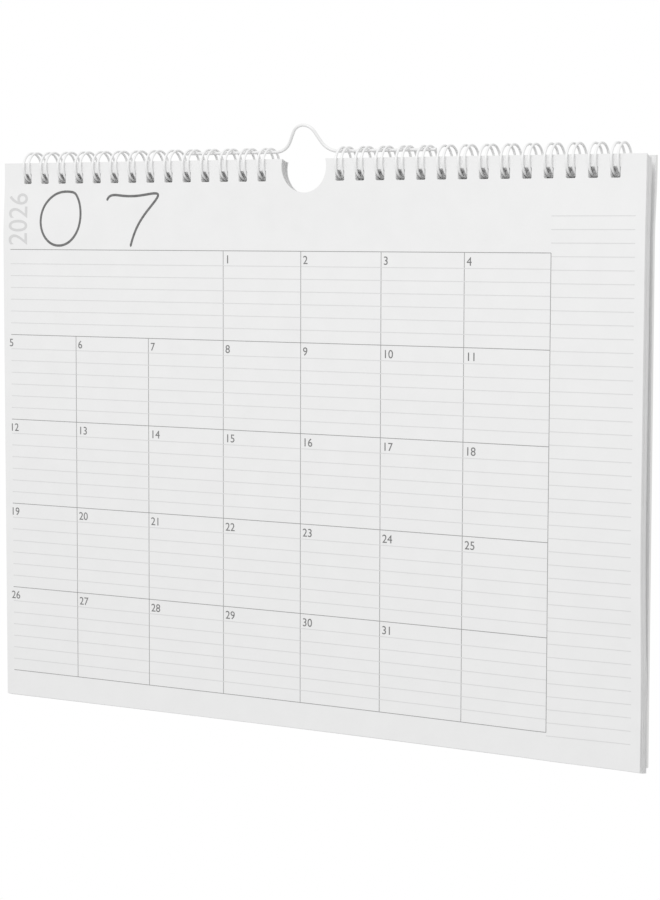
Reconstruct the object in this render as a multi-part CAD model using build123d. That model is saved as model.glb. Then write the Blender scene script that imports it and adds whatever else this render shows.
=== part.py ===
from build123d import *

import os
from math import asin, cos, hypot, pi, radians, sin, sqrt, tan

# Wall calendar, bound along its top edge with two combs of twin-loop wire and hung by a bent wire hanger.
# X runs to the right, Y into the wall and Z up. The origin is the nail seat, under the crest of the hanger.

# Leaves and board
SHEET_WIDTH = 279.4
SHEET_HEIGHT = 215.9
LEAF_COUNT = 13
LEAF_PITCH = 0.46
FAN_START = 150.0
FAN_OPENING = 1.5
LEAF_DROP = 1.2
BOARD_THICKNESS = 1.5
BOARD_DROP = 0.4
BINDING_GAP = 2.0

# Thumb notch, a round cut in the top edge
NOTCH_RADIUS = 10.0
NOTCH_DEPTH = 13.1

# Twin-loop wire combs
WIRE_DIAMETER = 0.9
LOOP_PITCH = 8.54
STRAND_SPACING = 2.5
RING_DROP = 1.8
BAR_BEND_RADIUS = 1.0
SEAM_GAP = 0.5

# Wire hanger
HANGER_DIAMETER = 1.2
HANGER_LENGTH = 110.0
HUMP_HEIGHT = 10.2
HUMP_LEAN = 17.0
CREST_RADIUS = 5.4
FLANK_ANGLE = 60.0
FOOT_RADIUS = 8.0

# Clearances, and the rounding of the punched holes' corners
EDGE_CLEARANCE = 0.33
HOLE_CLEARANCE = 0.2
HANGER_CLEARANCE = 0.25
HOLE_CORNER_RADIUS = 0.5

# The loops pass through the stack of leaves and board, which stands evenly before and behind their centre
page_thickness = LEAF_COUNT * LEAF_PITCH
stack_thickness = page_thickness + BINDING_GAP + BOARD_THICKNESS
front_offset = -stack_thickness / 2
page_back_offset = front_offset + page_thickness
board_front_offset = page_back_offset + BINDING_GAP

# The loops leave room for the stack's top corners, which turn inside them
ring_inner_radius = hypot(stack_thickness / 2, RING_DROP) + EDGE_CLEARANCE
ring_radius = ring_inner_radius + WIRE_DIAMETER / 2
ring_outer_radius = ring_inner_radius + WIRE_DIAMETER

# Down from the nail seat come the hanger's rod, the top edge of the sheets and the centre of the loops
rod_z = HANGER_DIAMETER / 2 - HUMP_HEIGHT * cos(radians(HUMP_LEAN))
ring_z = rod_z - ring_inner_radius + HANGER_CLEARANCE + HANGER_DIAMETER / 2
ring_y = HUMP_HEIGHT * sin(radians(HUMP_LEAN))
top_z = ring_z + RING_DROP

# Each comb starts two pitches from the middle and has as many loops as the sheet has room for
first_loop_x = 2 * LOOP_PITCH
loops_per_comb = int((SHEET_WIDTH / 2 - first_loop_x) / LOOP_PITCH)

# A binding hole holds both strands of its loop and the whole sag of the wire between the outer faces
hole_width = STRAND_SPACING + WIRE_DIAMETER + 2 * HOLE_CLEARANCE
hole_top = ring_z - sqrt((ring_inner_radius - HOLE_CLEARANCE) ** 2 - front_offset**2)
hole_bottom = ring_z - ring_outer_radius - HOLE_CLEARANCE

# Along a loop, turns are counted from straight down, towards the wall. The seam stands behind the last leaf.
tip_radius = STRAND_SPACING / 2
seam_turn = asin((page_back_offset + board_front_offset) / 2 / ring_radius)
strand_start = seam_turn + BAR_BEND_RADIUS / ring_radius
strand_end = seam_turn + 2 * pi - (SEAM_GAP + tip_radius) / ring_radius


def leaf_drop(offset):
    """How far a leaf at this place in the stack hangs below the front one, because it hangs on a round wire."""
    return LEAF_DROP * (1 - (offset / front_offset) ** 2)


def loop_centres():
    """Places of one comb's loops along X, outwards from the thumb notch."""
    return [first_loop_x + i * LOOP_PITCH for i in range(loops_per_comb)]


def punch(sheet):
    """Cuts the thumb notch and both rows of binding holes through a sheet."""
    face_on = Plane(origin=(0, ring_y, 0), x_dir=(1, 0, 0), z_dir=(0, -1, 0))
    hole = RectangleRounded(hole_width, hole_top - hole_bottom, HOLE_CORNER_RADIUS)
    hole_z = (hole_top + hole_bottom) / 2
    places = [(side * x, hole_z) for side in (-1, 1) for x in loop_centres()]
    notch = Pos(0, top_z - NOTCH_DEPTH + NOTCH_RADIUS) * Circle(NOTCH_RADIUS)
    outlines = [notch] + [Pos(x, z) * hole for x, z in places]
    cutters = [extrude(face_on * outline, stack_thickness, both=True) for outline in outlines]
    return sheet - cutters


def page_block():
    """The month leaves as one solid: staggered as they hang on the wire, and fanned from FAN_START down."""
    fan_z = top_z - FAN_START
    top_edge, bottom_edge = [], []
    for i in range(LEAF_COUNT):
        front = ring_y + front_offset + i * LEAF_PITCH
        drop = leaf_drop(front_offset + i * LEAF_PITCH) if i else 0
        swing = FAN_OPENING * i / (LEAF_COUNT - 1)
        top_edge += [(front, top_z - drop), (front + LEAF_PITCH, top_z - drop)]
        foot_z = top_z - SHEET_HEIGHT - drop
        bottom_edge += [(front, fan_z)] if i else []
        bottom_edge += [(front + swing, foot_z), (front + LEAF_PITCH + swing, foot_z)]
    back = [(ring_y + page_back_offset, fan_z)]
    outline = top_edge + back + bottom_edge[::-1]
    side = Plane.YZ * make_face(Polyline(*outline, close=True))
    return punch(extrude(side, SHEET_WIDTH / 2, both=True))


def back_board():
    """The stiff card behind the leaves."""
    board_y = ring_y + board_front_offset + BOARD_THICKNESS / 2
    board_z = top_z - BOARD_DROP - SHEET_HEIGHT / 2
    return punch(Pos(0, board_y, board_z) * Box(SHEET_WIDTH, BOARD_THICKNESS, SHEET_HEIGHT))


def on_loop(x, turn, beyond=0.0):
    """Point of a loop's centre line at x and this turn, moved beyond it along the tangent."""
    outwards = Vector(0, sin(turn), -cos(turn))
    onwards = Vector(0, cos(turn), sin(turn))
    return Vector(x, ring_y, ring_z) + outwards * ring_radius + onwards * beyond


def comb_bend(x, away):
    """Quarter bend from the foot of the strand at x into the bar that runs away from the loop."""
    foot = on_loop(x, strand_start)
    middle = on_loop(x + away * BAR_BEND_RADIUS * (1 - sqrt(0.5)), strand_start, -BAR_BEND_RADIUS * sqrt(0.5))
    return ThreePointArc(foot, middle, on_loop(x + away * BAR_BEND_RADIUS, strand_start, -BAR_BEND_RADIUS))


def comb_strand(x):
    """One round of the loop, from its foot at the bar to its tip."""
    half_way = (strand_start + strand_end) / 2
    return ThreePointArc(on_loop(x, strand_start), on_loop(x, half_way), on_loop(x, strand_end))


def comb_bar(x, away):
    """The half of a bar beside the strand at x, as far as the middle between two loops."""
    half_gap = (LOOP_PITCH - STRAND_SPACING) / 2
    bend_end = on_loop(x + away * BAR_BEND_RADIUS, strand_start, -BAR_BEND_RADIUS)
    return Line(bend_end, on_loop(x + away * half_gap, strand_start, -BAR_BEND_RADIUS))


def twin_loop():
    """One twin loop about x = 0: bar, strand, hairpin tip, strand and bar, bent from one wire."""
    near, far = -STRAND_SPACING / 2, STRAND_SPACING / 2
    tip = ThreePointArc(on_loop(near, strand_end), on_loop(0, strand_end, tip_radius), on_loop(far, strand_end))
    path = Wire([*comb_bar(near, -1).edges(), *comb_bend(near, -1).edges(), *comb_strand(near).edges(),
                 *tip.edges(), *comb_strand(far).edges(), *comb_bend(far, 1).edges(),
                 *comb_bar(far, 1).edges()])
    section = Plane(origin=path @ 0, z_dir=path % 0) * Circle(WIRE_DIAMETER / 2)
    return sweep(section, path)


def binding_wire():
    """The comb on the right of the notch: its loops in a row, joined end to end by their bars."""
    loop = twin_loop()
    first, *others = [Pos(x, 0, 0) * loop for x in loop_centres()]
    return first + others


def hanger():
    """The bent wire: straight tails in the loops, feet that curve up, straight flanks and a round crest."""
    lean = radians(HUMP_LEAN)
    flank = radians(FLANK_ANGLE)
    foot_top = FOOT_RADIUS * (1 - cos(flank))
    crest_low = HUMP_HEIGHT - CREST_RADIUS * (1 - cos(flank))
    crest_x = CREST_RADIUS * sin(flank)
    flank_x = crest_x + (crest_low - foot_top) / tan(flank)
    foot_x = flank_x + FOOT_RADIUS * sin(flank)
    foot_middle = (foot_x - FOOT_RADIUS * sin(flank / 2), FOOT_RADIUS * (1 - cos(flank / 2)))
    upright = Plane(origin=(0, ring_y, rod_z), x_dir=(1, 0, 0), z_dir=(0, -cos(lean), -sin(lean)))

    def half(side):
        tail = Line((side * HANGER_LENGTH / 2, 0), (side * foot_x, 0))
        foot = ThreePointArc((side * foot_x, 0), (side * foot_middle[0], foot_middle[1]), (side * flank_x, foot_top))
        rise = Line((side * flank_x, foot_top), (side * crest_x, crest_low))
        return [tail, foot, rise]

    crest = ThreePointArc((-crest_x, crest_low), (0, HUMP_HEIGHT), (crest_x, crest_low))
    pieces = half(-1) + [crest] + half(1)[::-1]
    path = upright * Wire([edge for piece in pieces for edge in piece.edges()])
    section = Plane(origin=path @ 0, z_dir=path % 0) * Circle(HANGER_DIAMETER / 2)
    return sweep(section, path)


right_comb = binding_wire()
nodes = {
    "page_block": page_block(),
    "back_board": back_board(),
    "left_binding_wire": mirror(right_comb, Plane.YZ),
    "right_binding_wire": right_comb,
    "hanger": hanger(),
}
os.makedirs("parts", exist_ok=True)
for name, solid in nodes.items():
    export_step(solid, f"parts/{name}.step")
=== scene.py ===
from math import asin, cos, pi, radians, sin, sqrt

import bmesh
import bpy
from mathutils import Matrix, Vector


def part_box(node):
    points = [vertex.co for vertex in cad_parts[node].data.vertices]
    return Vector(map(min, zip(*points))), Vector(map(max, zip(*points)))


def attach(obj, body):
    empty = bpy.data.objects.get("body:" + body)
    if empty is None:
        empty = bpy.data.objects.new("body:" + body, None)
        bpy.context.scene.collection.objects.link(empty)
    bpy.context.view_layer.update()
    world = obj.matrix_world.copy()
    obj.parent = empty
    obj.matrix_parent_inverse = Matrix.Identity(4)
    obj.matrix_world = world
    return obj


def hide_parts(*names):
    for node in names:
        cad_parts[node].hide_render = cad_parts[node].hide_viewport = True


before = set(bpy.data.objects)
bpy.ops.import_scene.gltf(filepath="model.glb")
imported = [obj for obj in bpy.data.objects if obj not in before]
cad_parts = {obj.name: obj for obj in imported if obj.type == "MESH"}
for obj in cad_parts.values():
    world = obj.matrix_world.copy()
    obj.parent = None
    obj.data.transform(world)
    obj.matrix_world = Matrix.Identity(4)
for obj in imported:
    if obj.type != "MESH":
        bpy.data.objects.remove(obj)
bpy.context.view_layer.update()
scene = bpy.context.scene


# Camera
# It stands about a metre away, to the calendar's right and above its middle, and looks a little downwards
# through a short telephoto lens, so the right-hand edges of the leaves and the board show.
CAMERA_PLACE = Vector((0.47241, -0.77165, -0.04077))
CAMERA_TURN = radians(30.811)
CAMERA_DIP = radians(5.079)
CAMERA_TILT = radians(0.167)
CAMERA_LENS = 96.128

camera = bpy.data.objects.new("camera", bpy.data.cameras.new("camera"))
camera.data.lens = CAMERA_LENS
scene.collection.objects.link(camera)
camera.matrix_world = (
    Matrix.Translation(CAMERA_PLACE)
    @ Matrix.Rotation(CAMERA_TURN, 4, "Z")
    @ Matrix.Rotation(pi / 2 - CAMERA_DIP, 4, "X")
    @ Matrix.Rotation(CAMERA_TILT, 4, "Z")
)
bpy.context.scene.camera = camera


# Light and floor
# A white studio: light comes evenly from all round, a large softbox stands before the calendar, higher than
# it, and a pale floor lies well below the hanging sheets. What the camera sees behind them is plain white.
SURROUND_LIGHT = 0.74
SOFTBOX_PLACE = Vector((0.12, -0.95, 0.80))
SOFTBOX_AIM = Vector((0.0, 0.0, -0.08))
SOFTBOX_SIDE = 0.8
SOFTBOX_WATTS = 6.1
STUDIO_WHITE = "#FFFFFF"
FLOOR_DROP = 0.62
FLOOR_RADIUS = 0.6
FLOOR_SIDES = 96
FLOOR_COLOUR = "#E4E4E4"


def linear(colour):
    """Linear RGBA of an sRGB hex colour."""
    parts = [int(colour[i:i + 2], 16) / 255 for i in (1, 3, 5)]
    return [p / 12.92 if p <= 0.04045 else ((p + 0.055) / 1.055) ** 2.4 for p in parts] + [1.0]


def add(tree, kind, settings=None, inputs=None):
    """Adds a node; each input is a value, or the socket of another node to link from."""
    node = tree.nodes.new(kind)
    for name, value in (settings or {}).items():
        setattr(node, name, value)
    for name, value in (inputs or {}).items():
        if isinstance(value, bpy.types.NodeSocket):
            tree.links.new(value, node.inputs[name])
        else:
            node.inputs[name].default_value = value
    return node


def new_material(name):
    """An empty material with its node tree."""
    made = bpy.data.materials.new(name)
    made.use_nodes = True
    made.node_tree.nodes.clear()
    return made


scene.view_settings.view_transform = "Standard"
scene.world = bpy.data.worlds.new("white_studio")
scene.world.use_nodes = True
sky = scene.world.node_tree
sky.nodes.clear()
rays = add(sky, "ShaderNodeLightPath")
backdrop = add(sky, "ShaderNodeBackground", inputs={"Color": linear(STUDIO_WHITE), "Strength": 1.0})
surround = add(sky, "ShaderNodeBackground", inputs={"Color": linear(STUDIO_WHITE),
                                                    "Strength": SURROUND_LIGHT})
either = add(sky, "ShaderNodeMixShader", inputs={0: rays.outputs["Is Camera Ray"], 1: surround.outputs[0],
                                                 2: backdrop.outputs[0]})
add(sky, "ShaderNodeOutputWorld", inputs={"Surface": either.outputs[0]})

softbox = bpy.data.objects.new("softbox", bpy.data.lights.new("softbox", "AREA"))
softbox.data.size = SOFTBOX_SIDE
softbox.data.energy = SOFTBOX_WATTS
softbox.location = SOFTBOX_PLACE
softbox.rotation_mode = "QUATERNION"
softbox.rotation_quaternion = (SOFTBOX_AIM - SOFTBOX_PLACE).to_track_quat("-Z", "Y")
scene.collection.objects.link(softbox)

floor_mesh = bmesh.new()
bmesh.ops.create_circle(floor_mesh, cap_ends=True, segments=FLOOR_SIDES, radius=FLOOR_RADIUS,
                        matrix=Matrix.Translation((0, 0, -FLOOR_DROP)))
floor = bpy.data.objects.new("floor", bpy.data.meshes.new("floor"))
floor_mesh.to_mesh(floor.data)
floor_mesh.free()
scene.collection.objects.link(floor)

# Matt paint, rolled on: pale and without gloss, so it sends soft light back up
floor_paint = new_material("matt_floor_paint")
floor_shader = add(floor_paint.node_tree, "ShaderNodeBsdfPrincipled",
                   inputs={"Base Color": linear(FLOOR_COLOUR), "Roughness": 0.9})
add(floor_paint.node_tree, "ShaderNodeOutputMaterial", inputs={"Surface": floor_shader.outputs[0]})
floor.data.materials.append(floor_paint)


# Month leaves
# Thirteen sheets of heavy uncoated text paper, punched along the top for the wire and notched for a thumb.
# The inner ones hang lower on the round wire. Below it all of them bow, their lower right corner curls back,
# and their feet stand apart.
MM = 0.001
LEAF_COUNT = 13
LEAF_THICKNESS = 0.30 * MM
LEAF_PITCH = 0.34 * MM
LEAF_DROP = 1.2 * MM

# Binding holes, one for each loop of wire, and the thumb notch a little right of the middle
LOOP_PITCH = 8.54 * MM
FIRST_LOOP_X = 2 * LOOP_PITCH
HOLE_WIDTH = 3.8 * MM
HOLE_HEIGHT = 4.02 * MM
HOLE_CORNER = 0.5 * MM
HOLE_CORNER_STEPS = 4
HOLE_BELOW_WIRE = 0.2 * MM
NOTCH_RADIUS = 9.75 * MM
NOTCH_DEPTH = 12.55 * MM
NOTCH_STRAY = 1.45 * MM
NOTCH_STEPS = 40

# How the sheets bend. The bow grows over a stretch below the top edge, and the curl from an upright line at
# the right to the lower corner, which also hangs lower. Where the corner curls and where the feet part are
# shares of the sheet's height.
BOW_FROM, BOW_FULL = 5 * MM, 30 * MM
SIDES_FORWARD = 2.0 * MM
CURL_FROM = 95 * MM
EDGE_CURL, CORNER_CURL = 0.8 * MM, 2.3 * MM
CORNER_FROM, CORNER_AT = 0.60, 0.92
CORNER_SLANT = 0.9 * MM
FOOT_OPENS_FROM, FOOT_OPEN_AT = 0.76, 0.90
PITCH_AT_FOOT = 0.45 * MM
BEND_STEP = 4 * MM
SHARP_EDGE = radians(35)

# A slight ripple, which shifts from leaf to leaf and fades towards the last, and the leaves' stray sideways
RIPPLE = 0.22 * MM
RIPPLE_LENGTH = 190 * MM
RIPPLE_START, RIPPLE_SHIFT, RIPPLE_FADE = 0.7, 0.12, 0.6
SIDE_STRAY = 0.16 * MM
STRAY_SHIFT = 2.4

# Paper. Real fibres are too fine for the render, so they are drawn this coarse.
PAPER_WHITE, PAPER_SHADE = "#F2F2F2", "#EDEDED"
# Painted shade: the grey of the notch's cut walls, which stands in for the shade inside the notch
NOTCH_PAINTED_SHADE, NOTCH_PAINTED_SHADE_DEEP = "#D2D2D2", "#CBCBCB"
CLOUD = 9 * MM
FIBRE = 0.7 * MM

# A face whose normal has less than this along Y is the wall of a cut
CUT_WALL = 0.5

block_low, block_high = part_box("page_block")
board_low, board_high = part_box("back_board")
comb_low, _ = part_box("right_binding_wire")
sheet_width = block_high.x - block_low.x
sheet_height = board_high.z - board_low.z
sheet_top = block_high.z
front_face = block_low.y
stack_half = (board_high.y - front_face) / 2
loops_per_comb = int((sheet_width / 2 - FIRST_LOOP_X) / LOOP_PITCH)


def ease(t):
    """Rises smoothly from 0 to 1 as t does."""
    t = min(max(t, 0.0), 1.0)
    return t * t * (3 - 2 * t)


def leaf_drop(number):
    """How far a leaf hangs below the front one, since it hangs on a round wire."""
    offset = number * LEAF_PITCH - stack_half
    return LEAF_DROP * (1 - (offset / stack_half) ** 2) if number else 0.0


def freedom(below):
    """From 0 at the wires, which hold the sheets flat, to 1 where they are free to bend."""
    return ease((below - BOW_FROM) / (BOW_FULL - BOW_FROM))


def bow(x):
    """How far the sheets bend towards the wall at x: in the middle a little, at the sides away from it."""
    return SIDES_FORWARD * (1 / 3 - (2 * x / sheet_width) ** 2)


def leaf_face(number, x, below):
    """Where the front face of a leaf stands along Y, at x and this far below its top edge."""
    share = below / sheet_height
    opened = ease((share - FOOT_OPENS_FROM) / (FOOT_OPEN_AT - FOOT_OPENS_FROM))
    pitch = LEAF_PITCH + (PITCH_AT_FOOT - LEAF_PITCH) * opened
    curl = EDGE_CURL + CORNER_CURL * ease((share - CORNER_FROM) / (CORNER_AT - CORNER_FROM))
    curl *= ease((x - CURL_FROM) / (sheet_width / 2 - CURL_FROM))
    ripple = RIPPLE * share * sin(2 * pi * x / RIPPLE_LENGTH + RIPPLE_START + RIPPLE_SHIFT * number)
    ripple *= 1 - RIPPLE_FADE * number / LEAF_COUNT
    return front_face + number * pitch + freedom(below) * (bow(x) + curl) + ripple


def rounded_slot(x, z):
    """Corner-rounded rectangle of one punched hole about its middle."""
    points = []
    for quarter, (side_x, side_z) in enumerate([(1, 1), (-1, 1), (-1, -1), (1, -1)]):
        corner_x = x + side_x * (HOLE_WIDTH / 2 - HOLE_CORNER)
        corner_z = z + side_z * (HOLE_HEIGHT / 2 - HOLE_CORNER)
        for step in range(HOLE_CORNER_STEPS + 1):
            turn = (quarter + step / HOLE_CORNER_STEPS) * pi / 2
            points.append((corner_x + HOLE_CORNER * cos(turn), corner_z + HOLE_CORNER * sin(turn)))
    return points


def sheet_outline(top, notch_radius, notch_x, slant):
    """A sheet's edge, with the thumb notch as an arc in its top side and its right corner slanted lower."""
    half = sheet_width / 2
    centre_z = sheet_top - NOTCH_DEPTH + NOTCH_RADIUS
    lip = asin((top - centre_z) / notch_radius)
    turns = [pi - lip + (pi + 2 * lip) * step / NOTCH_STEPS for step in range(NOTCH_STEPS + 1)]
    notch = [(notch_x + notch_radius * cos(turn), centre_z + notch_radius * sin(turn)) for turn in turns]
    foot = top - sheet_height
    return [(-half, top), *notch, (half, top), (half, foot - slant), (CURL_FROM, foot), (-half, foot)]


def flat_sheet(sheet_edge):
    """A sheet of this outline, punched and flat at y = 0, with edges across it wherever it may bend."""
    hole_z = comb_low.z - HOLE_BELOW_WIRE + HOLE_HEIGHT / 2
    places = [side * (FIRST_LOOP_X + i * LOOP_PITCH) for side in (-1, 1) for i in range(loops_per_comb)]
    sheet = bmesh.new()
    for outline in [sheet_edge] + [rounded_slot(x, hole_z) for x in places]:
        corners = [sheet.verts.new((x, 0, z)) for x, z in outline]
        for near, far in zip(corners, corners[1:] + corners[:1]):
            sheet.edges.new((near, far))
    bmesh.ops.triangle_fill(sheet, use_beauty=True, edges=sheet.edges[:], normal=(0, -1, 0))
    for axis, low, length in ((0, block_low.x, sheet_width), (2, sheet_top - sheet_height, sheet_height)):
        steps = round(length / BEND_STEP)
        for step in range(1, steps):
            place, across = [0, 0, 0], [0, 0, 0]
            place[axis], across[axis] = low + length * step / steps, 1
            every = sheet.verts[:] + sheet.edges[:] + sheet.faces[:]
            bmesh.ops.bisect_plane(sheet, geom=every, plane_co=place, plane_no=across)
    return sheet


def thicken(sheet, thickness):
    """Gives flat faces at y = 0 a back at y = thickness, with closed edges."""
    grown = bmesh.ops.extrude_face_region(sheet, geom=sheet.faces[:])["geom"]
    back = [corner for corner in grown if isinstance(corner, bmesh.types.BMVert)]
    bmesh.ops.translate(sheet, vec=(0, thickness, 0), verts=back)
    bmesh.ops.recalc_face_normals(sheet, faces=sheet.faces[:])


def new_piece(name, sheet, material, body):
    """Turns a bmesh into a piece that rides on a body, smooth where it bends and sharp at its edges."""
    mesh = bpy.data.meshes.new(name)
    sheet.to_mesh(mesh)
    mesh.shade_smooth()
    mesh.set_sharp_from_angle(angle=SHARP_EDGE)
    mesh.materials.append(material)
    piece = bpy.data.objects.new(name, mesh)
    scene.collection.objects.link(piece)
    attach(piece, body)
    return piece


def paper(name, white, shade):
    """Uncoated text paper, calendered from pulp: matt, with clouds of fibre that barely show."""
    made = new_material(name)
    tree = made.node_tree
    place = add(tree, "ShaderNodeTexCoord")
    clouds = add(tree, "ShaderNodeTexNoise", inputs={"Vector": place.outputs["Object"], "Scale": 1 / CLOUD,
                                                     "Detail": 3.0})
    fibres = add(tree, "ShaderNodeTexNoise", inputs={"Vector": place.outputs["Object"], "Scale": 1 / FIBRE,
                                                     "Detail": 4.0, "Roughness": 0.65})
    tone = add(tree, "ShaderNodeMixRGB", inputs={"Fac": clouds.outputs[0], "Color1": linear(white),
                                                 "Color2": linear(shade)})
    grain = add(tree, "ShaderNodeBump", inputs={"Height": fibres.outputs[0], "Distance": 0.02 * MM,
                                                "Strength": 0.5})
    shader = add(tree, "ShaderNodeBsdfPrincipled", inputs={
        "Base Color": tone.outputs[0], "Roughness": 0.88, "IOR": 1.45, "Specular IOR Level": 0.25,
        "Normal": grain.outputs[0]})
    add(tree, "ShaderNodeOutputMaterial", inputs={"Surface": shader.outputs[0]})
    return made


leaf_paper = paper("uncoated_text_paper", PAPER_WHITE, PAPER_SHADE)
# The same paper painted grey on the notch's punched walls: painted shade, a crescent inside the white face
notch_painted_shade = paper("notch_wall_painted_shade", NOTCH_PAINTED_SHADE, NOTCH_PAINTED_SHADE_DEEP)

pattern = flat_sheet(sheet_outline(sheet_top, NOTCH_RADIUS, NOTCH_STRAY, CORNER_SLANT))
thicken(pattern, LEAF_THICKNESS)
notch_middle = Vector((NOTCH_STRAY, LEAF_THICKNESS / 2, sheet_top - NOTCH_DEPTH + NOTCH_RADIUS))
# The notch's walls take the leaf's second material, its painted shade
for wall in pattern.faces:
    from_middle = (wall.calc_center_median() - notch_middle).length
    if abs(wall.normal.y) < CUT_WALL and from_middle < NOTCH_RADIUS + LEAF_THICKNESS:
        wall.material_index = 1
for number in range(LEAF_COUNT):
    sheet = pattern.copy()
    stray = SIDE_STRAY * sin(STRAY_SHIFT * number) if number else 0.0
    for corner in sheet.verts:
        corner.co.y += leaf_face(number, corner.co.x, sheet_top - corner.co.z)
        corner.co.x += stray
        corner.co.z -= leaf_drop(number)
    leaf = new_piece(f"month_leaf_{number + 1:02d}", sheet, leaf_paper, "pages")
    leaf.data.materials.append(notch_painted_shade)
    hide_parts("page_block")
    sheet.free()
pattern.free()


# Printing
# Offset print in greys on the front leaf: a ruled writing surface, a grid of days with small plain numbers,
# a column for notes, and the month and year as numerals. The ink lies on the paper as a thin film.
INK_FILM = 0.06 * MM
INK_PROUD = 0.75 * INK_FILM
PAPER_THROUGH_INK = 0.22
LINE_STEP = 4 * MM


def ink(name, colour):
    """Matt offset ink, soaked into the paper, a little uneven where it covers the fibres."""
    made = new_material(name)
    tree = made.node_tree
    place = add(tree, "ShaderNodeTexCoord")
    cover = add(tree, "ShaderNodeTexNoise", inputs={"Vector": place.outputs["Object"], "Scale": 1 / FIBRE,
                                                    "Detail": 2.0})
    thin = add(tree, "ShaderNodeMath", settings={"operation": "MULTIPLY"},
               inputs={0: cover.outputs[0], 1: PAPER_THROUGH_INK})
    tone = add(tree, "ShaderNodeMixRGB", inputs={"Fac": thin.outputs[0], "Color1": linear(colour),
                                                 "Color2": linear(PAPER_WHITE)})
    shader = add(tree, "ShaderNodeBsdfPrincipled", inputs={
        "Base Color": tone.outputs[0], "Roughness": 0.8, "IOR": 1.5, "Specular IOR Level": 0.25})
    add(tree, "ShaderNodeOutputMaterial", inputs={"Surface": shader.outputs[0]})
    return made


def strip(flat, start, end, width):
    """Adds a straight printed line to a flat bmesh, in steps short enough to follow the paper."""
    start, end = Vector((start[0], 0, start[1])), Vector((end[0], 0, end[1]))
    run = end - start
    aside = run.normalized().cross(Vector((0, 1, 0))) * width / 2
    steps = max(1, round(run.length / LINE_STEP))
    rungs = []
    for step in range(steps + 1):
        place = start + run * step / steps
        rungs.append((flat.verts.new(place - aside), flat.verts.new(place + aside)))
    for (a, b), (c, d) in zip(rungs, rungs[1:]):
        flat.faces.new((a, b, d, c))


def printed(name, flat, material):
    """Lays flat faces, in x and distance below the top edge, on the front leaf as a film of ink."""
    thicken(flat, INK_FILM)
    for corner in flat.verts:
        corner.co.y += leaf_face(0, corner.co.x, corner.co.z) - INK_PROUD
        corner.co.z = sheet_top - corner.co.z
    bmesh.ops.recalc_face_normals(flat, faces=flat.faces[:])
    new_piece(name, flat, material, "pages")
    flat.free()


# Ruled lines and the grid of days. Tops and feet here are distances below the sheet's top edge.
GRID_LEFT, GRID_TOP = -136.2 * MM, 34.45 * MM
GRID_PITCH_X, GRID_PITCH_Z = 34.70 * MM, 34.28 * MM
GRID_COLUMNS, GRID_ROWS = 7, 5
FIRST_UPRIGHT_X = -104.24 * MM
FIRST_DAY_COLUMN, DAYS = 3, 31
GRID_LINE, GRID_GREY = 0.24 * MM, "#949494"
RULE_LINE, RULE_GREY = 0.28 * MM, "#DCDCDC"
RULE_PITCH = 4.76 * MM
RULES_PER_ROW = 6
NOTES_RIGHT = 136.0 * MM
NOTES_TOP = 21.44 * MM
NOTES_RULES = 40


def column_x(column):
    """The left side of a column of days, where every column but the first has an upright line."""
    return FIRST_UPRIGHT_X + (column - 1) * GRID_PITCH_X


def row_below(row):
    """The grid's level lines, as distances below the top edge."""
    return GRID_TOP + row * GRID_PITCH_Z


grid_right = column_x(GRID_COLUMNS)
rules = bmesh.new()
for row in range(GRID_ROWS):
    for count in range(1, RULES_PER_ROW + 1):
        rule_below = row_below(row + 1) - count * RULE_PITCH
        strip(rules, (GRID_LEFT, rule_below), (grid_right, rule_below), RULE_LINE)
for count in range(NOTES_RULES):
    rule_below = NOTES_TOP + count * RULE_PITCH
    strip(rules, (grid_right, rule_below), (NOTES_RIGHT, rule_below), RULE_LINE)
printed("ruled_lines", rules, ink("pale_rule_ink", RULE_GREY))

grid = bmesh.new()
for row in range(GRID_ROWS + 1):
    strip(grid, (GRID_LEFT, row_below(row)), (grid_right, row_below(row)), GRID_LINE)
for column in range(1, GRID_COLUMNS + 1):
    # Before the month's first day the top row is empty, so the upright lines start below it
    top_row = 0 if column >= FIRST_DAY_COLUMN else 1
    strip(grid, (column_x(column), row_below(top_row)), (column_x(column), row_below(GRID_ROWS)), GRID_LINE)
printed("day_grid", grid, ink("grey_grid_ink", GRID_GREY))

# Numbers of the days, and the year, which runs up the left side
DIGIT_HEIGHT = 3.1 * MM
DIGIT_INSET_X, DIGIT_INSET_Z = 0.9 * MM, 1.65 * MM
DIGIT_GREY = "#646464"
YEAR_TEXT = "2026"
YEAR_LEFT, YEAR_FOOT = -137.2 * MM, 32.5 * MM
YEAR_HEIGHT, YEAR_LENGTH = 9.2 * MM, 20.5 * MM
YEAR_GREY = "#D4D4D4"
TYPE_STEPS = 6


def flattened(curve):
    """Places in x and z and the faces of the flat mesh that a curve makes. The curve itself goes."""
    writer = bpy.data.objects.new(curve.name, curve)
    scene.collection.objects.link(writer)
    shape = bpy.data.meshes.new_from_object(writer.evaluated_get(bpy.context.evaluated_depsgraph_get()))
    places = [(corner.co.x, corner.co.y) for corner in shape.vertices]
    faces = [list(face.vertices) for face in shape.polygons]
    bpy.data.objects.remove(writer)
    bpy.data.curves.remove(curve)
    bpy.data.meshes.remove(shape)
    return places, faces


def numerals(text):
    """Flat outline of a plain number at the type's own size."""
    curve = bpy.data.curves.new("numerals", "FONT")
    curve.body = text
    curve.resolution_u = TYPE_STEPS
    return flattened(curve)


def set_type(flat, places, faces):
    """Adds a number to a flat bmesh, its places given in x and distance below the top edge."""
    corners = [flat.verts.new((x, 0, below)) for x, below in places]
    for face in faces:
        flat.faces.new([corners[i] for i in face])


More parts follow.
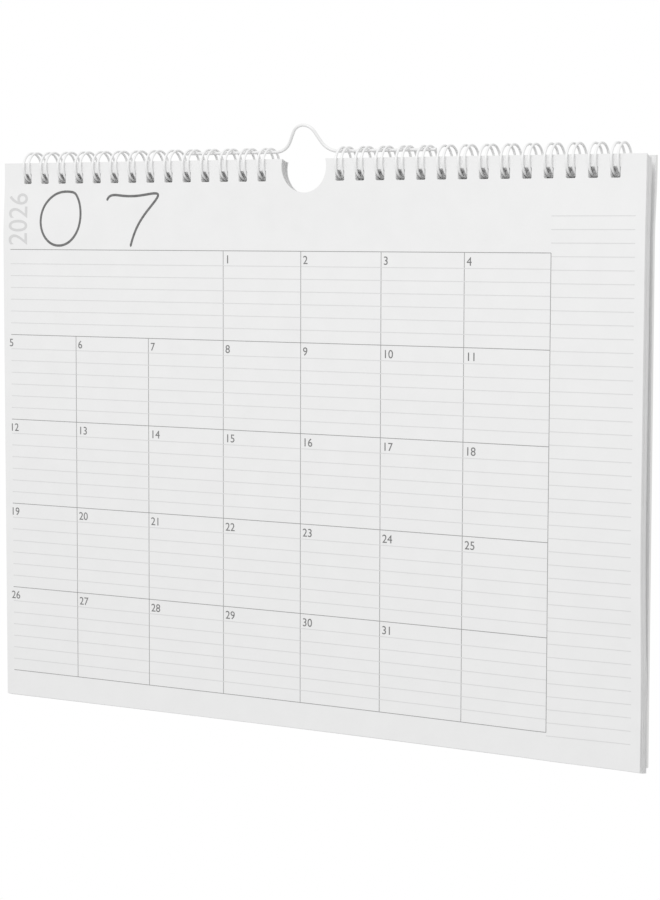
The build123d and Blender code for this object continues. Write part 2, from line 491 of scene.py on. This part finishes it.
sample, _ = numerals("0")
type_height = max(z for _, z in sample) - min(z for _, z in sample)
type_scale = DIGIT_HEIGHT / type_height
digits = bmesh.new()
for day in range(1, DAYS + 1):
    row, column = divmod(FIRST_DAY_COLUMN + day - 1, GRID_COLUMNS)
    # The first column is cut short by the sheet's side, so its numbers stand below the year and not inset
    left = max(column_x(column) + DIGIT_INSET_X, YEAR_LEFT)
    foot = row_below(row) + DIGIT_INSET_Z + DIGIT_HEIGHT
    places, faces = numerals(str(day))
    set_type(digits, [(left + x * type_scale, foot - z * type_scale) for x, z in places], faces)
printed("day_numbers", digits, ink("day_number_ink", DIGIT_GREY))

year = bmesh.new()
places, faces = numerals(YEAR_TEXT)
type_start = min(x for x, _ in places)
type_length = max(x for x, _ in places) - type_start
set_type(year, [(YEAR_LEFT + (1 - z / type_height) * YEAR_HEIGHT,
                 YEAR_FOOT - (x - type_start) / type_length * YEAR_LENGTH) for x, z in places], faces)
printed("year_number", year, ink("year_ink", YEAR_GREY))

# The month's number, drawn as with a pen along guide points: millimetres in x and below the top edge
MONTH_PEN = 0.95 * MM
PEN_POINT = 0.02 * MM
PEN_STEPS = 24
MONTH_GREY = "#565656"
MONTH_NOUGHT = [(-105.8, 11.5), (-113.3, 11.2), (-120.8, 17), (-122, 26), (-117, 33), (-108.3, 33.2),
                (-102, 26.5), (-101.4, 17.5), (-103.9, 12.2)]
MONTH_SEVEN = [(-89, 15.2), (-88.1, 12.4), (-82.1, 13.4), (-74.6, 13.6), (-66.5, 12.2), (-63.6, 12.6),
               (-67.1, 16.5), (-72.8, 22), (-76.4, 28), (-77.9, 33.2)]


def pen_line(points, closed):
    """Centre line of a pen stroke that a few guide points lead, as closely spaced points."""
    curve = bpy.data.curves.new("pen_line", "CURVE")
    line = curve.splines.new("NURBS")
    line.points.add(len(points) - 1)
    for knot, (x, z) in zip(line.points, points):
        knot.co = (x, z, 0, 1)
    line.order_u = 4
    line.use_endpoint_u = not closed
    line.use_cyclic_u = closed
    line.resolution_u = PEN_STEPS
    places, _ = flattened(curve)
    return [Vector((x, 0, z)) * MM for x, z in places]


def pen_stroke(flat, points, closed):
    """Adds a stroke of even width with round ends to a flat bmesh."""
    path = pen_line(points, closed)
    count = len(path)
    lengths = [0.0]
    for near, far in zip(path, path[1:]):
        lengths.append(lengths[-1] + (far - near).length)
    rungs = []
    for i, place in enumerate(path):
        near = path[i - 1] if closed else path[max(i - 1, 0)]
        far = path[(i + 1) % count] if closed else path[min(i + 1, count - 1)]
        aside = (far - near).normalized().cross(Vector((0, 1, 0)))
        to_end = MONTH_PEN / 2 if closed else min(lengths[i], lengths[-1] - lengths[i], MONTH_PEN / 2)
        half = sqrt(max(MONTH_PEN * to_end - to_end**2, PEN_POINT**2))
        rungs.append((flat.verts.new(place - aside * half), flat.verts.new(place + aside * half)))
    for (a, b), (c, d) in zip(rungs, rungs[1:] + (rungs[:1] if closed else [])):
        flat.faces.new((a, b, d, c))


month = bmesh.new()
pen_stroke(month, MONTH_NOUGHT, closed=True)
pen_stroke(month, MONTH_SEVEN, closed=False)
printed("month_numeral", month, ink("month_ink", MONTH_GREY))


# Back board
# A sheet of stiff white card behind the leaves, die cut with the same holes and a wider notch. It bends as
# they do below the wires, and less towards its foot.
BOARD_NOTCH_RADIUS = 12.8 * MM
# The card's colour, and a trace lighter one on its cut edges: a painted highlight where the edges catch
# light
BOARD_WHITE, BOARD_EDGE_HIGHLIGHT = "#F0F0F0", "#F2F2F1"
CARD_FIBRE = 1.2 * MM
FIBRE_SHADE = 0.25

# Shares of the leaves' bow at the top and at the foot
TOP_BOW, FOOT_BOW = 1.2, 0.2


def solid_card():
    """Solid bleached card: smooth and matt, its cut edges a trace whiter as a painted highlight. Its faint
    fibres are drawn coarse.
    """
    made = new_material("solid_white_card")
    tree = made.node_tree
    place = add(tree, "ShaderNodeTexCoord")
    split = add(tree, "ShaderNodeSeparateXYZ", inputs={0: place.outputs["Normal"]})
    facing = add(tree, "ShaderNodeMath", settings={"operation": "ABSOLUTE"}, inputs={0: split.outputs["Y"]})
    # Painted highlight: faces edge-on to the board, its cut walls, take the lighter colour
    edge = add(tree, "ShaderNodeMath", settings={"operation": "LESS_THAN"},
               inputs={0: facing.outputs[0], 1: CUT_WALL})
    fibres = add(tree, "ShaderNodeTexNoise", inputs={"Vector": place.outputs["Object"],
                                                     "Scale": 1 / CARD_FIBRE, "Detail": 4.0})
    shade = add(tree, "ShaderNodeMath", settings={"operation": "MULTIPLY_ADD"},
                inputs={0: fibres.outputs[0], 1: FIBRE_SHADE, 2: edge.outputs[0]})
    tone = add(tree, "ShaderNodeMixRGB", inputs={"Fac": shade.outputs[0], "Color1": linear(BOARD_WHITE),
                                                 "Color2": linear(BOARD_EDGE_HIGHLIGHT)})
    grain = add(tree, "ShaderNodeBump", inputs={"Height": fibres.outputs[0], "Distance": 0.03 * MM,
                                                "Strength": 0.4})
    shader = add(tree, "ShaderNodeBsdfPrincipled", inputs={
        "Base Color": tone.outputs[0], "Roughness": 0.75, "IOR": 1.47, "Specular IOR Level": 0.35,
        "Normal": grain.outputs[0]})
    add(tree, "ShaderNodeOutputMaterial", inputs={"Surface": shader.outputs[0]})
    return made


card = flat_sheet(sheet_outline(board_high.z, BOARD_NOTCH_RADIUS, 0.0, 0.0))
thicken(card, board_high.y - board_low.y)
for corner in card.verts:
    below = board_high.z - corner.co.z
    board_share = TOP_BOW + (FOOT_BOW - TOP_BOW) * below / sheet_height
    corner.co.y += board_low.y + freedom(below) * bow(corner.co.x) * board_share
back_card = new_piece("back_card", card, solid_card(), "board")
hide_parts("back_board")
card.free()


# Binding wires
# Two combs of low-carbon steel wire with a white nylon coat, bent into rows of twin loops and closed through
# the punched holes, one comb each side of the thumb notch.
WIRE_WHITE, WIRE_WORN = "#F6F6F6", "#EEEEEE"
COAT_PATCH = 2.5 * MM


def coated_wire(name, white, worn, roughness):
    """A thin coat over drawn steel wire: soft gloss, and patches a shade darker where it is thinner."""
    made = new_material(name)
    tree = made.node_tree
    place = add(tree, "ShaderNodeTexCoord")
    coat = add(tree, "ShaderNodeTexNoise", inputs={"Vector": place.outputs["Object"],
                                                   "Scale": 1 / COAT_PATCH, "Detail": 3.0})
    tone = add(tree, "ShaderNodeMixRGB", inputs={"Fac": coat.outputs[0], "Color1": linear(white),
                                                 "Color2": linear(worn)})
    ripple = add(tree, "ShaderNodeBump", inputs={"Height": coat.outputs[0], "Distance": 0.02 * MM,
                                                 "Strength": 0.3})
    shader = add(tree, "ShaderNodeBsdfPrincipled", inputs={
        "Base Color": tone.outputs[0], "Roughness": roughness, "IOR": 1.53, "Normal": ripple.outputs[0]})
    add(tree, "ShaderNodeOutputMaterial", inputs={"Surface": shader.outputs[0]})
    return made


def dress(node, material):
    """Gives a node of the frame this finish in place of its plain one."""
    for slot in node.material_slots:
        slot.material = material


nylon_coat = coated_wire("white_nylon_coated_wire", WIRE_WHITE, WIRE_WORN, roughness=0.32)
for side in ("left", "right"):
    dress(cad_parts[f"{side}_binding_wire"], nylon_coat)


# Hanger
# One spring-steel wire, painted white: its tails lie in the loops on either side, and its hump stands up in
# the notch to hang on a nail.
HANGER_WHITE, HANGER_WORN = "#F4F4F4", "#EBEBEB"

painted_coat = coated_wire("white_painted_wire", HANGER_WHITE, HANGER_WORN, roughness=0.28)
dress(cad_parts["hanger"], painted_coat)
